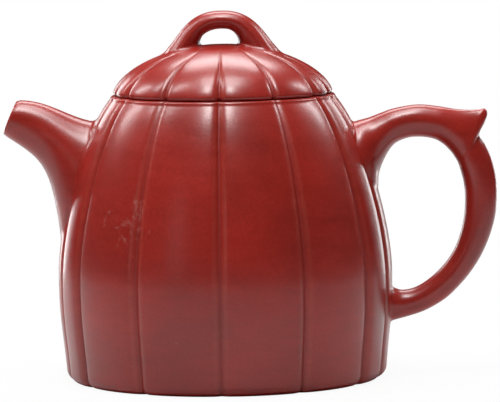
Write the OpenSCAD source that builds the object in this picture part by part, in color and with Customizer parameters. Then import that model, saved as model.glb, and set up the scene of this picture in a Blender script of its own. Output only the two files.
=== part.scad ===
// Ribbed clay teapot: a bell-shaped body under a domed lid with a bridge knob.
// The origin is at the centre of the base, on the pot's axis. +Z is up,
// the spout points along -X and the handle along +X. Sizes are in millimetres.

/* [Body] */
// Height of the body, from the table to the seam under the lid
body_h = 85.2; // [81:0.1:92]
// Widest diameter of the body, over the crowns of the ribs
belly_d = 100.5; // [96:0.1:108]
// Height of the widest place
belly_z = 31; // [24:0.1:36]
// Outer diameter of the body at the seam
rim_d = 67.6; // [65:0.1:71]
// Lean of the shoulder from the vertical where it meets the seam
shoulder_lean = 39; // [34:0.5:44]
// Diameter of the body just above the rounded foot
heel_d = 96.2; // [94:0.1:98]
// Radius of the rounded foot
foot_round = 3.4; // [2.4:0.1:4.4]
// Radius of the lips on both sides of the seam
lip_round = 0.7; // [0.4:0.05:1.2]
// Thickness of the body's wall under the crowns
wall_t = 3.6; // [3.2:0.1:4.2]
// Width of the ring of wall that stands on the table
foot_ring_w = 4.6; // [3.6:0.1:6]
// Thickness of the base
base_t = 3.4; // [2.8:0.1:4.4]

/* [Ribs] */
// Azimuth of the first groove on each side of the front one
groove_1 = 31; // [28:0.5:34]
// Azimuth of the second groove
groove_2 = 60; // [56:0.5:63]
// Azimuth of the third groove, which borders the spout's and the handle's rib
groove_3 = 77.5; // [75:0.5:79]
// Depth of a groove at the widest place
groove_depth = 1.5; // [0.8:0.05:1.9]
// Part of that depth that comes from the crown of the rib
crown_share = 0.5; // [0.3:0.05:0.7]
// Width of the rounded shoulder on each side of a groove, in degrees
shoulder_w = 4.5; // [3.5:0.25:6]

/* [Mouth] */
// Width of the flat edge of the mouth, from the outer rim to the mouth itself
mouth_edge_w = 7.3; // [6.6:0.1:8]
// Thickness of the ring inside the mouth
mouth_ring_t = 3.2; // [2.6:0.1:3.6]
// Height of that ring
mouth_ring_h = 4.5; // [3.5:0.1:6]

/* [Lid] */
// Height of the lid's dome above the seam
dome_h = 15.1; // [13.5:0.1:17.5]
// How far the dome's edge stays inside the body's edge
lid_set_back = 1; // [0.2:0.05:1.4]
// Wall thickness of the dome
dome_t = 3.2; // [2.8:0.1:3.8]
// Thickness of the flat ring under the dome
plate_t = 2.6; // [2:0.1:3.2]
// Play between the lid's collar and the mouth
lid_play = 0.3; // [0.2:0.05:0.5]
// Thickness of the collar
collar_t = 2.3; // [1.8:0.1:3]
// Depth of the collar below the seam
collar_h = 7.5; // [5:0.1:10]
// Diameter of the vent hole in the top of the dome
vent_d = 3.2; // [2:0.1:4]

/* [Knob] */
// Height of the knob above the top of the dome
knob_h = 10; // [9.6:0.1:12]
// Distance between the middles of the knob's two feet
knob_span = 26.6; // [24.5:0.1:29]
// Thickness of the bridge at its top
knob_t = 5.4; // [4.6:0.1:5.8]
// Width of the bridge at its top, from front to back
knob_w = 8; // [6.8:0.1:9.4]
// Extra thickness of the bridge's feet, on their outer side
knob_foot_t = 0.7; // [0.4:0.1:1.6]
// Extra thickness of the bridge's feet, on their inner side
knob_foot_in = 4.2; // [2.8:0.1:4.8]
// Extra width of the bridge's feet, on each side
knob_foot_w = 2.8; // [1.6:0.1:3.6]

/* [Spout] */
// Distance of the middle of the spout's mouth from the pot's axis
spout_reach = 64; // [61:0.1:67]
// Height of the middle of the spout's mouth
spout_tip_z = 79.1; // [77:0.1:81]
// Outer diameter of the spout's mouth
spout_tip_d = 11; // [10.4:0.1:12.2]
// Diameter of the passage at the spout's mouth
spout_bore_d = 7.8; // [6.4:0.1:8.4]
// Angle above the horizontal at which the cut face of the mouth points
spout_tilt = 23; // [17:0.5:30]
// Angle above the horizontal at which the spout's underside reaches the mouth
spout_rise = 34; // [28:0.5:38]
// Height of the top of the spout's root on the wall
spout_root_top = 77.4; // [75.6:0.1:78.4]
// Height of the bottom of the spout's root on the wall
spout_root_low = 42.2; // [39:0.1:45]
// Width of the spout's root
spout_root_w = 23.6; // [22:0.1:26]
// Thickness of the spout's wall at its root
spout_wall = 2.8; // [2.2:0.1:3.2]

/* [Strainer] */
// Height of the strainer's hole, on the outside of the wall
strainer_z = 57.5; // [54:0.1:60]
// Outer diameter of the strainer
strainer_d = 16; // [14:0.1:17]
// Diameter of the strainer's neck, which fills the hole in the wall
strainer_neck_d = 14.4; // [12.4:0.1:15]
// Wall thickness of the strainer
strainer_t = 1.5; // [1.2:0.1:2]
// How far the strainer's ball stands clear of the wall
strainer_out = 3; // [1:0.1:5]
// Diameter of one strainer hole
pore_d = 1.9; // [1.4:0.1:2.2]
// Number of rings of holes around the middle one
pore_rings = 2; // [1:1:3]
// Angle between two rings of holes
pore_step = 27; // [24:1:28]

/* [Handle] */
// Distance from the body's widest place to the far side of the handle
handle_out = 31.6; // [28:0.1:35]
// Height of the handle's middle line along its upper arm
handle_top = 76.9; // [75.8:0.1:77.8]
// Height of the handle's middle line at its lower root
handle_low = 21.5; // [19:0.1:25]
// Thickness of the handle at its upper arm
handle_t = 9.7; // [8.8:0.1:10.4]
// Thickness of the handle at its lower root
handle_low_t = 7.7; // [7.2:0.1:9.4]
// Width of the handle, from front to back
handle_w = 9; // [8:0.1:10.4]
// Extra thickness of the handle at its upper root, on each face
upper_flare = 5; // [4:0.1:6]
// How far out of the wall the upper root's spread reaches
upper_flare_run = 9; // [7:0.5:12]
// Extra thickness of the handle at its lower root, on each face
lower_flare = 2.2; // [1.2:0.1:3.2]
// How far out of the wall the lower root's spread reaches
lower_flare_run = 3.6; // [2.6:0.1:6]
// How far the thumb rest stands out of the handle's outer side
thumb_out = 7.2; // [5:0.1:8.6]
// Distance over which the thumb rest rises out of the upper arm
thumb_slope = 3.2; // [2.4:0.1:4.4]
// Distance over which it falls back under its tip
thumb_under = 2; // [1.4:0.1:3]
// Drop of the handle's middle line from its upper arm to its upper root
root_drop = 8; // [6.8:0.1:9.4]

/* [Hidden] */
clay = [0.52, 0.17, 0.14];
clay_inside = [0.44, 0.15, 0.13];
$fn = 96;
over = 1; // how far a cutting shape passes the face it cuts
root_sink = 5; // how far a luted shape starts inside the wall, before it is trimmed
upper_slope = 35; // slope of the handle's line at its upper root
sides = 24; // points around a swept section
belly_r = belly_d / 2;
rim_r = rim_d / 2;
heel_r = heel_d / 2;
foot_r = heel_r - foot_round;
base_r = foot_r - foot_ring_w;
apex_z = body_h + dome_h;
lid_r = rim_r - lid_set_back;
mouth_r = rim_r - mouth_edge_w;
seat_r = mouth_r + mouth_ring_t; // where the mouth ring meets the wall
plate_r = lid_r - dome_t; // where the flat ring meets the dome
collar_r = mouth_r - lid_play;
groove_share = groove_depth / belly_r;

// ---- Curves ----

// Point of a cubic curve with end points a and d and handles b and c
function cubic(a, b, c, d, t) =
  pow(1 - t, 3) * a + 3 * t * pow(1 - t, 2) * b + 3 * t * t * (1 - t) * c + pow(t, 3) * d;

// Point of a smooth curve through p[i] and p[i + 1]
function through(p, i, t) =
  let (
    a = p[max(i - 1, 0)],
    b = p[i],
    c = p[i + 1],
    d = p[min(i + 2, len(p) - 1)]
  )
  cubic(b, b + (c - a) / 6, c - (d - b) / 6, c, t);

function unit(v) = v / norm(v);

// ---- Ribs ----

// Groove azimuths all the way round, from the front: 0 is -Y and 90 is +X
side_grooves = [0, groove_1, groove_2, groove_3, 180 - groove_3, 180 - groove_2, 180 - groove_1];
grooves = concat(side_grooves, [for (a = side_grooves) a + 180], [360]);
rib_steps = [0, 0.05, 0.12, 0.24, 0.42, 0.58, 0.76, 0.88, 0.95];
azimuths = [
  for (i = [0:len(grooves) - 2])
    for (s = rib_steps)
      grooves[i] + s * (grooves[i + 1] - grooves[i])
];

// How far azimuth a lies into its rib: 0 at the crown and 1 in a groove
function into_rib(a, i = 0) =
  a <= grooves[i + 1]
    ? abs(2 * (a - grooves[i]) / (grooves[i + 1] - grooves[i]) - 1)
    : into_rib(a, i + 1);

// Angle from azimuth a to the nearest groove
function to_groove(a) = min([for (g = grooves) abs(a - g)]);

// Share of the crown's radius that is left at azimuth a
function rib(a) =
  1 - groove_share * (
    crown_share * pow(into_rib(a), 2)
    + (1 - crown_share) * pow(max(0, 1 - to_groove(a) / shoulder_w), 2)
  );
rib_shape = [for (a = azimuths) [sin(a), -cos(a)] * rib(a)];

// ---- Profiles: each point is [radius over the crowns, height] ----

foot_arc = [
  for (a = [-90:22.5:0])
    [foot_r + foot_round * cos(a), foot_round + foot_round * sin(a)]
];
lower_pull = (belly_z - foot_round) * 0.45;
lower_curve = [
  for (t = [0.2:0.2:1])
    cubic(
      [heel_r, foot_round],
      [heel_r + lower_pull * 0.09, foot_round + lower_pull],
      [belly_r, belly_z - lower_pull],
      [belly_r, belly_z], t
    )
];
shoulder_z = body_h - lip_round;
shoulder_pull = (shoulder_z - belly_z) * 0.3;
upper_curve = [
  for (t = [0.1:0.1:1])
    cubic(
      [belly_r, belly_z],
      [belly_r, belly_z + shoulder_pull],
      [rim_r, shoulder_z] + shoulder_pull * 0.85 * [sin(shoulder_lean), -cos(shoulder_lean)],
      [rim_r, shoulder_z], t
    )
];
body_lip = [[rim_r - 0.3 * lip_round, body_h - 0.3 * lip_round], [rim_r - lip_round, body_h]];
body_profile = concat(foot_arc, lower_curve, upper_curve, body_lip);

dome_pull = lid_r * 0.48;
edge_pull = dome_h * 0.5;
dome_curve = [
  for (t = [0:0.1:0.9])
    cubic(
      [lid_r, body_h + lip_round],
      [lid_r - edge_pull * 0.34, body_h + lip_round + edge_pull * 0.94],
      [dome_pull, apex_z],
      [0, apex_z], t
    )
];
dome_lip = [[lid_r - lip_round, body_h], [lid_r - 0.3 * lip_round, body_h + 0.3 * lip_round]];
dome_profile = concat(dome_lip, dome_curve);

// Radius over the crowns at height z, on the body and on the dome
body_table = [for (p = body_profile) [p[1], p[0]]];
function wall_r(z) = lookup(z, body_table);
dome_table = [for (i = [len(dome_profile) - 1:-1:0]) dome_profile[i]];
function dome_z(r) = lookup(r, concat([[0, apex_z]], dome_table));

// A solid with ribs all round. Its profile runs from bottom to top, and closes in a point at tip_z
// where that is given, or else in a flat face.
module ribbed(profile, tip_z = undef) {
  n = len(rib_shape);
  rings = len(profile);
  closed = !is_undef(tip_z);
  body_points = [for (p = profile) for (s = rib_shape) [p[0] * s[0], p[0] * s[1], p[1]]];
  floor_face = [[for (j = [0:n - 1]) j]];
  walls = [
    for (i = [0:rings - 2])
      for (j = [0:n - 1])
        [i * n + j, (i + 1) * n + j, (i + 1) * n + (j + 1) % n, i * n + (j + 1) % n]
  ];
  last = (rings - 1) * n;
  roof = closed
    ? [for (j = [0:n - 1]) [last + j, rings * n, last + (j + 1) % n]]
    : [[for (j = [n - 1:-1:0]) last + j]];
  polyhedron(
    points = closed ? concat(body_points, [[0, 0, tip_z]]) : body_points,
    faces = concat(floor_face, walls, roof)
  );
}

// The outside of the body above height low, and the outside of the dome
module body_outside(low = 0) ribbed([for (p = body_profile) if (p[1] >= low) p]);
module dome_outside() ribbed(dome_profile, apex_z);

// ---- Sweeps ----

// A section is [middle, left, reach to the left, reach to the right, half width]. Middle and left
// are [x, z], and left points to the left of the way that the sweep runs.
function section_points(s) = [
  for (k = [0:sides - 1])
    let (
      a = 360 * k / sides,
      reach = (cos(a) > 0 ? s[2] : s[3]) * cos(a),
      p = s[0] + unit(s[1]) * reach
    )
      [p[0], s[4] * sin(a), p[1]]
];
function moved(s, by) = [s[0] + by, s[1], s[2], s[3], s[4]];

module sweep(sections) {
  rings = len(sections);
  points = [for (s = sections) for (p = section_points(s)) p];
  walls = [
    for (i = [0:rings - 2])
      for (k = [0:sides - 1])
        let (a = i * sides + k, b = i * sides + (k + 1) % sides)
          each [[a, b, b + sides], [a, b + sides, a + sides]]
  ];
  ends = [
    [for (k = [sides - 1:-1:0]) k],
    [for (k = [0:sides - 1]) (rings - 1) * sides + k]
  ];
  polyhedron(points = points, faces = concat(walls, ends));
}

// ---- Spout ----

spout_axis = [-cos(spout_tilt), sin(spout_tilt)];
low_way = [-cos(spout_rise), sin(spout_rise)]; // way the underside runs at the mouth
tip_up = [sin(spout_tilt), cos(spout_tilt)];
tip_mid = [-spout_reach, spout_tip_z];
root_high = [-wall_r(spout_root_top), spout_root_top];
root_deep = [-wall_r(spout_root_low), spout_root_low];
spout_len = norm(tip_mid - (root_high + root_deep) / 2);

// Top and bottom outline of the spout at t, from the root at 0 to the mouth at 1, moved in by inset
function spout_top(t, inset) =
  let (tip = tip_mid + tip_up * (spout_tip_d / 2 - inset), root = root_high - [0, inset])
  cubic(root, root + spout_len * [-0.3, 0.045], tip + spout_len * [0.34, 0.01], tip, t);
function spout_low(t, inset) =
  let (tip = tip_mid - tip_up * (spout_tip_d / 2 - inset), root = root_deep + inset * [1, 0.6])
  cubic(root, root + spout_len * [-0.1, 0.85], tip - spout_len * 0.5 * low_way, tip, t);

// Wall at t: the spout's wall thins towards the mouth
function spout_inset(t) = spout_wall + ((spout_tip_d - spout_bore_d) / 2 - spout_wall) * t;

function spout_section(t, hollow) =
  let (
    inset = hollow ? spout_inset(t) : 0,
    high = spout_top(t, inset),
    low = spout_low(t, inset),
    mid = (high + low) / 2,
    half_w = (spout_tip_d + (spout_root_w - spout_tip_d) * pow(1 - t, 1.8)) / 2 - inset
  )
  [mid, low - high, norm(high - low) / 2, norm(high - low) / 2, half_w];

module spout_solid(hollow) {
  past = hollow ? over : 0;
  steps = [for (t = [0:0.1:1]) spout_section(t, hollow)];
  sweep(concat(
    [moved(steps[0], [root_sink + past, 0])],
    steps,
    hollow ? [moved(steps[len(steps) - 1], spout_axis * over)] : []
  ));
}

// ---- Handle ----

handle_far = belly_r + handle_out - (handle_t + handle_low_t) / 4;
// Middle line of the ear: [share of its reach from the widest place, share of its height]
ear = [
  [-0.085, 0.935], [0.12, 0.98], [0.32, 0.993], [0.54, 0.972], [0.73, 0.925], [0.88, 0.83], [0.975, 0.71],
  [1, 0.58], [0.975, 0.44], [0.89, 0.3], [0.72, 0.17], [0.49, 0.07], [0.27, 0.012]
];
ear_points = [
  for (p = ear)
    [
      belly_r + p[0] * (handle_far - belly_r),
      handle_low + p[1] * (handle_top - handle_low)
    ]
];
upper_root_z = handle_top - root_drop;
upper_root = [wall_r(upper_root_z), upper_root_z];
lower_root = [wall_r(handle_low), handle_low];
// The line runs into the wall upwards at the upper root, and level at the lower one
upper_way = [cos(upper_slope), sin(upper_slope)];
handle_line = concat(
  [upper_root - root_sink * upper_way, upper_root],
  ear_points,
  [lower_root + [handle_t * 0.25, 0], lower_root - [root_sink, 0]]
);
handle_spans = len(handle_line) - 1;

// How near p is to the wall: 1 at the wall and 0 where the root's spread ends
function near_wall(p) =
  let (run = p[1] > (handle_top + handle_low) / 2 ? upper_flare_run : lower_flare_run)
  max(0, 1 - max(0, p[0] - wall_r(p[1])) / run);

// How much a handle section spreads at p, near the wall. Its inner side springs more
// steeply from the wall, so there the spread fades faster.
function flare_at(p, fade = 2) =
  (p[1] > (handle_top + handle_low) / 2 ? upper_flare : lower_flare) * pow(near_wall(p), fade);

// Way along the wall, upwards at the upper root and downwards at the lower one
function wall_way(p) =
  let (up = [wall_r(p[1] + 1) - wall_r(p[1] - 1), 2])
  p[1] > (handle_top + handle_low) / 2 ? up : -up;

// How far the thumb rest stands out of the ear's outer side at p. Its tip is at the
// start of the line's span number 6, counted from the upper root.
thumb_span = 6;
thumb_at = through(handle_line, thumb_span, 0.15);
function thumb_swell(p) =
  thumb_out * exp(-norm(p - thumb_at) / (p[0] > thumb_at[0] ? thumb_under : thumb_slope));

function handle_section(i, t) =
  let (
    p = through(handle_line, i, t),
    before = through(handle_line, i, max(0, t - 0.05)),
    after = through(handle_line, i, min(1, t + 0.05)),
    along = unit(after - before),
    more = flare_at(p),
    more_inside = flare_at(p, fade = 5),
    share = max(0, (p[1] - handle_low) / (handle_top - handle_low)),
    half_t = (handle_low_t + (handle_t - handle_low_t) * pow(share, 0.4)) / 2
  )
  [
    p, [-along[1], along[0]] + pow(near_wall(p), 2) * wall_way(p),
    half_t + more + thumb_swell(p), half_t + more_inside, handle_w / 2 + more
  ];

// Finer steps along the spans that carry the thumb rest, and at the upper root
function steps_of(i) = abs(i - thumb_span) <= 1 ? 8 : i == 1 ? 5 : 2;
module ear_solid() {
  sweep(concat(
    [
      for (i = [0:handle_spans - 1])
        for (k = [0:steps_of(i) - 1])
          handle_section(i, k / steps_of(i))
    ],
    [handle_section(handle_spans - 1, 1)]
  ));
}

// ---- Knob ----

knob_top = apex_z + knob_h - knob_t / 2;
foot_x = knob_span / 2;
foot_sink = 1.2; // depth of the middle of a foot under the dome's surface
foot_z = dome_z(foot_x) - foot_sink;
leg_run = [0.256 * foot_x, -0.316 * foot_x]; // way the bridge's line runs at the foot
function bridge(t) =
  cubic(
    [0, knob_top], [foot_x * 0.6, knob_top],
    [foot_x, foot_z] - leg_run, [foot_x, foot_z], t
  );
// How much the bridge thickens on its inner side: it starts 0.4 of the way down
function inner_change(t) = knob_foot_in * pow(max(0, (t - 0.4) / 0.6), 1.5);
function bridge_section(t, side, past = 0) =
  let (
    p = bridge(t) + past * unit(leg_run),
    along = unit(bridge(min(1, t + 0.02)) - bridge(max(0, t - 0.02)))
  )
  [
    [side * p[0], p[1]],
    [-side * along[1], along[0]],
    knob_t / 2 + knob_foot_t * t, knob_t / 2 + inner_change(t),
    knob_w / 2 + knob_foot_w * t * t
  ];
module bridge_solid() {
  sweep(concat(
    [bridge_section(1, -1, knob_t)],
    [for (k = [-10:10]) bridge_section(abs(k) / 10, k < 0 ? -1 : 1)],
    [bridge_section(1, 1, knob_t)]
  ));
}

// ---- Strainer ----

wall_tilt = atan2(wall_r(strainer_z - 3) - wall_r(strainer_z + 3), 6);
strainer_r = strainer_d / 2;
neck_r = strainer_neck_d / 2;
ball_x = -wall_t - strainer_out - sqrt(pow(strainer_r, 2) - pow(neck_r, 2)); // the ball's centre
neck_back = 0.6; // how far the neck's end stays inside the wall's outer surface
// Runs along the strainer's own axis: +X points out of the pot
module at_strainer() {
  translate([-wall_r(strainer_z), 0, strainer_z])
    rotate([0, wall_tilt, 0])
      mirror([1, 0, 0])
        children();
}

// ---- Pieces ----

function offset_in(p, t) = [p[0] - t, p[1]];
inside_fillet = 1.5; // bevel where the wall's inside meets the base and the mouth ring
inner_wall = [
  for (p = body_profile)
    if (p[1] > base_t + 2 * foot_round && p[1] < body_h - mouth_ring_h - inside_fillet)
      offset_in(p, wall_t)
];
body_cavity = concat(
  [[0, -over], [base_r, -over], [base_r, base_t], [base_r + inside_fillet, base_t + inside_fillet / 2]],
  inner_wall,
  [[seat_r, body_h - mouth_ring_h], [seat_r, body_h + over], [0, body_h + over]]
);

module body_wall() {
  color(clay)
    difference() {
      body_outside();
      rotate_extrude()
        polygon(body_cavity);
      at_strainer()
        rotate([0, 90, 0])
          cylinder(r = neck_r, h = 4 * wall_t, center = true);
    }
}

module base_disc() {
  color(clay)
    cylinder(r = base_r, h = base_t);
}

module mouth_ring() {
  color(clay_inside)
    translate([0, 0, body_h - mouth_ring_h])
      difference() {
        cylinder(r = seat_r, h = mouth_ring_h);
        translate([0, 0, -over])
          cylinder(r = mouth_r, h = mouth_ring_h + 2 * over);
      }
}

module spout() {
  color(clay)
    difference() {
      spout_solid(hollow = false);
      spout_solid(hollow = true);
      body_outside(low = spout_root_low - spout_root_w);
    }
}

module strainer() {
  color(clay_inside)
    at_strainer()
      difference() {
        union() {
          translate([ball_x, 0, 0]) {
            sphere(r = strainer_r);
            rotate([0, 90, 0])
              cylinder(r = neck_r, h = -ball_x - neck_back);
          }
        }
        translate([ball_x, 0, 0]) {
          sphere(r = strainer_r - strainer_t);
          rotate([0, 90, 0])
            cylinder(r = neck_r - strainer_t, h = over - ball_x);
          for (ring = [0:pore_rings])
            for (k = [0:max(1, 6 * ring) - 1])
              rotate([360 * k / max(1, 6 * ring), 0, 0])
                rotate([0, -90 - pore_step * ring, 0])
                  cylinder(d = pore_d, h = strainer_r + over);
        }
      }
}

module handle() {
  color(clay)
    difference() {
      ear_solid();
      body_outside();
    }
}

inner_dome = [
  for (i = [2:len(dome_curve) - 1])
    let (p = dome_curve[i], s = unit(dome_curve[i] - dome_curve[i - 1]))
      [p[0] - dome_t * abs(s[1]), p[1] - dome_t * abs(s[0])]
];
dome_cavity = concat(
  [[0, body_h - over], [plate_r, body_h - over], [plate_r, body_h + plate_t]],
  [for (p = inner_dome) if (p[1] > body_h + plate_t && p[0] < plate_r) p],
  [[0, apex_z - dome_t]]
);

module lid_dome() {
  color(clay)
    difference() {
      dome_outside();
      rotate_extrude()
        polygon(dome_cavity);
      translate([0, 0, body_h])
        cylinder(d = vent_d, h = dome_h + over);
    }
}

module lid_plate() {
  color(clay_inside)
    translate([0, 0, body_h])
      difference() {
        cylinder(r = plate_r, h = plate_t);
        translate([0, 0, -over])
          cylinder(r = collar_r - collar_t, h = plate_t + 2 * over);
      }
}

module lid_collar() {
  color(clay_inside)
    translate([0, 0, body_h - collar_h])
      difference() {
        cylinder(r = collar_r, h = collar_h);
        translate([0, 0, -over])
          cylinder(r = collar_r - collar_t, h = collar_h + 2 * over);
      }
}

module lid_knob() {
  color(clay)
    difference() {
      bridge_solid();
      dome_outside();
    }
}

body_wall();
base_disc();
mouth_ring();
spout();
strainer();
handle();
lid_dome();
lid_plate();
lid_collar();
lid_knob();
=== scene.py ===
# %% [markdown]
# # A ribbed clay teapot
#
# This notebook dresses a small red clay teapot: a bell-shaped ribbed body, a ribbed lid with a
# bridge knob, a short spout with its strainer, and an ear handle with a thumb rest.
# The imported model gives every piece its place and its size. Lengths are in metres.

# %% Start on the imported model
import math
from functools import partial

import bmesh
import bpy
import numpy as np
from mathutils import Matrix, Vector


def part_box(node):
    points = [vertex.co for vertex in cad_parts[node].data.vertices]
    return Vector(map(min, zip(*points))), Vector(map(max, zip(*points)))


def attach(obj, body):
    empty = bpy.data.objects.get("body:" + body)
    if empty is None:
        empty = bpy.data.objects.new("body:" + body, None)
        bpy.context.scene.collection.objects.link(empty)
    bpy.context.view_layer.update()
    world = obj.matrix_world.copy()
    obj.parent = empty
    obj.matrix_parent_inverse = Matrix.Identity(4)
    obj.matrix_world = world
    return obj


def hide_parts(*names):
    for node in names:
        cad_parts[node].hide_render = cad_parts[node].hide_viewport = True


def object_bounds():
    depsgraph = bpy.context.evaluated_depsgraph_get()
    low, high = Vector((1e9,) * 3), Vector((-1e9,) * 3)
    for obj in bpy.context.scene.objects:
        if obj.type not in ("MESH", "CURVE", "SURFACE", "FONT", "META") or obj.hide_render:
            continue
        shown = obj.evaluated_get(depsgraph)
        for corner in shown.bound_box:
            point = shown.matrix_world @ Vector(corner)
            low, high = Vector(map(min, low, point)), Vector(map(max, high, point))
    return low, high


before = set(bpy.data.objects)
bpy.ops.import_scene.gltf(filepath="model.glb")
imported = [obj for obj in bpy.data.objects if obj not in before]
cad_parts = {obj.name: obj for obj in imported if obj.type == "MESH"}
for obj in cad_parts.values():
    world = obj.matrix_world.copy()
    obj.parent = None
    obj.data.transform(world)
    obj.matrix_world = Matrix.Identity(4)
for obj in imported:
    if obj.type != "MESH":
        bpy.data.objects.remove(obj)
cad_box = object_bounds()
for corner in cad_box:
    print("the packed model has a corner at", [round(v, 4) for v in corner])

# %% [markdown]
# ## The sizes
#
# A potter works from a drawing with a few sizes: how high the body is, how wide its belly, where
# the seam lies. The same numbers shape every piece here, so that what fits together on the real
# pot fits here too. The height of the seam comes from the imported pieces, and the dome's top
# stands a given height above it.

# %% The sizes of the pot
MM = 0.001
seam_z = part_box("body_wall")[1].z
apex_z = seam_z + 15.1 * MM
belly_r = 50.1 * MM
belly_z = 31 * MM
rim_r = 33.8 * MM
shoulder_lean = math.radians(39)
heel_r = 48.1 * MM
foot_round = 3.4 * MM
foot_r = heel_r - foot_round
foot_ring_w = 4.6 * MM
base_r = foot_r - foot_ring_w
base_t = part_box("base_disc")[1].z
wall_t = 3.6 * MM
lip_round = 0.9 * MM
mouth_r = rim_r - 7.3 * MM
seat_r = mouth_r + 3.2 * MM
mouth_ring_h = 4.5 * MM
lid_r = rim_r - 1.0 * MM
dome_t = 3.2 * MM
plate_r = lid_r - dome_t
plate_t = 2.6 * MM
collar_r = mouth_r - 0.3 * MM
collar_t = 2.3 * MM
collar_h = 7.5 * MM
vent_r = 1.6 * MM
body_groove_share = 1.7 * MM / belly_r
lid_groove_share = 1.9 * MM / lid_r
crown_share, crown_curve = 0.45, 3.0
shoulder_width, softness = 3.4, 0.2
lid_lip = 1.2 * MM
print("seam at", round(seam_z / MM, 1), "mm, top of the dome at", round(apex_z / MM, 1), "mm")

# %% [markdown]
# ## Curves
#
# A clay pot has no sharp turns: its outline flows. A cubic curve with two handles draws such an
# outline from a few points, and a chain of them runs smoothly through any list of points. Both
# give plain arrays of points, which the next cells turn into surfaces.

# %% Two ways to draw a smooth line
def cubic(a, b, c, d, t):
    a, b, c, d = (np.asarray(p, float) for p in (a, b, c, d))
    t = np.asarray(t, float)[..., None]
    return (1 - t) ** 3 * a + 3 * t * (1 - t) ** 2 * b + 3 * t * t * (1 - t) * c + t ** 3 * d


def through(points, t):
    """The point at t on a smooth line through the points: t counts them, starting at 0."""
    i = min(int(t), len(points) - 2)
    near = (max(i - 1, 0), i, i + 1, min(i + 2, len(points) - 1))
    a, b, c, d = (np.asarray(points[j], float) for j in near)
    return cubic(b, b + (c - a) / 6, c - (d - b) / 6, c, np.array(t - i))


def unit(v):
    return v / np.linalg.norm(v)


print("half way round a quarter turn:", cubic([0, 0], [0, 0.55], [0.45, 1], [1, 1], 0.5).round(3))

# %% [markdown]
# ## The outline of the body and of the dome
#
# The body stands on a rounded foot, swells to its belly and draws in to the seam. The dome goes
# on from there to the top of the lid. Each outline is a list of [radius, height] over the crowns
# of the ribs, drawn once and used for the shell, for its ribs and for whatever is luted to it.

# %% Draw the two outlines
turn = np.linspace(-math.pi / 2, 0, 10)
foot_arc = np.c_[foot_r + foot_round * np.cos(turn), foot_round + foot_round * np.sin(turn)]
low_pull = (belly_z - foot_round) * 0.45
low_curve = cubic(
    [heel_r, foot_round], [heel_r + low_pull * 0.09, foot_round + low_pull],
    [belly_r, belly_z - low_pull], [belly_r, belly_z], np.linspace(0, 1, 27)[1:],
)
shoulder_z = seam_z - lip_round
high_pull = (shoulder_z - belly_z) * 0.3
rim_pull = high_pull * 0.85
high_curve = cubic(
    [belly_r, belly_z], [belly_r, belly_z + high_pull],
    [rim_r + rim_pull * math.sin(shoulder_lean), shoulder_z - rim_pull * math.cos(shoulder_lean)],
    [rim_r, shoulder_z], np.linspace(0, 1, 61)[1:],
)
body_line = np.vstack([foot_arc, low_curve, high_curve])

edge_pull = (apex_z - seam_z) * 0.5
dome_line = cubic(
    [lid_r, seam_z + lid_lip], [lid_r - edge_pull * 0.34, seam_z + lid_lip + edge_pull * 0.94],
    [lid_r * 0.48, apex_z], [0, apex_z], np.linspace(0, 1, 71),
)


def body_radius(z):
    return np.interp(z, body_line[:, 1], body_line[:, 0])


def dome_height(r):
    return np.interp(r, dome_line[::-1, 0], dome_line[::-1, 1])


print(len(body_line), "points on the body,", len(dome_line), "on the dome")

# %% [markdown]
# ## Surfaces of turning
#
# Body, lid, mouth lining and base are all thrown or pressed round one axis, so each is a section
# turned round it. A section is a closed loop of [radius, height, ribbed], where ribbed says how
# far that point takes part in the ribs: 1 on the outside of the pot and 0 inside it. The columns
# lie closer together near the grooves, where the surface turns fastest.

# %% A section turned round the axis
GROOVES = (0.0, 30.5, 60.0, 77.5)
STEPS = (0, 0.012, 0.026, 0.042, 0.06, 0.082, 0.11, 0.145, 0.19, 0.25, 0.32, 0.4, 0.5)
steps = list(STEPS) + [1 - s for s in reversed(STEPS[1:-1])]
half_round = list(GROOVES) + [180 - g for g in reversed(GROOVES[1:])]
all_grooves = half_round + [180 + g for g in half_round] + [360]
azimuths = np.radians([a + s * (b - a) for a, b in zip(all_grooves, all_grooves[1:]) for s in steps])


def piece(name, vertices, faces):
    mesh = bpy.data.meshes.new(name)
    mesh.from_pydata([tuple(v) for v in vertices], [], faces)
    mesh.validate()
    mesh.shade_smooth()
    made = bpy.data.objects.new(name, mesh)
    bpy.context.scene.collection.objects.link(made)
    return made


def quads(rows, sides, closed_rows=False):
    """Faces of a grid whose sides close round: one more band joins the ends if the rows close too."""
    faces = []
    for i in range(rows if closed_rows else rows - 1):
        for j in range(sides):
            k = (j + 1) % sides
            m = (i + 1) % rows
            faces.append((i * sides + j, i * sides + k, m * sides + k, m * sides + j))
    return faces


def turned(name, section, around=azimuths):
    """A ring-shaped piece whose section is a closed loop that runs counter-clockwise."""
    section = np.array(section, float)
    vertices = [
        (r * math.sin(a), -r * math.cos(a), z) for r, z, _ in section for a in around
    ]
    made = piece(name, vertices, quads(len(section), len(around), closed_rows=True))
    weight = made.data.attributes.new("ribbed", "FLOAT", "POINT")
    weight.data.foreach_set("value", np.repeat(section[:, 2], len(around)))
    return made


print(len(azimuths), "columns all the way round")

# %% [markdown]
# ## Rounded corners
#
# Clay edges are wiped with a wet finger and lose their corners. This helper takes the corners of
# a section, each with the radius of its wipe, and gives the loop with every corner rounded.

# %% Wipe the corners of a section
def wiped(corners, arc=4):
    """corners: [r, z, radius of the wipe, ribbed]"""
    loop = []
    n = len(corners)
    for i, (r, z, wipe, ribbed) in enumerate(corners):
        here = np.array([r, z])
        before = np.array(corners[i - 1][:2])
        after = np.array(corners[(i + 1) % n][:2])
        if wipe == 0:
            loop.append([r, z, ribbed])
            continue
        start = here + unit(before - here) * wipe
        end = here + unit(after - here) * wipe
        pull_in, pull_out = start + (here - start) * 0.55, end + (here - end) * 0.55
        for p in cubic(start, pull_in, pull_out, end, np.linspace(0, 1, arc + 1)):
            loop.append([p[0], p[1], ribbed])
    return loop


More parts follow.
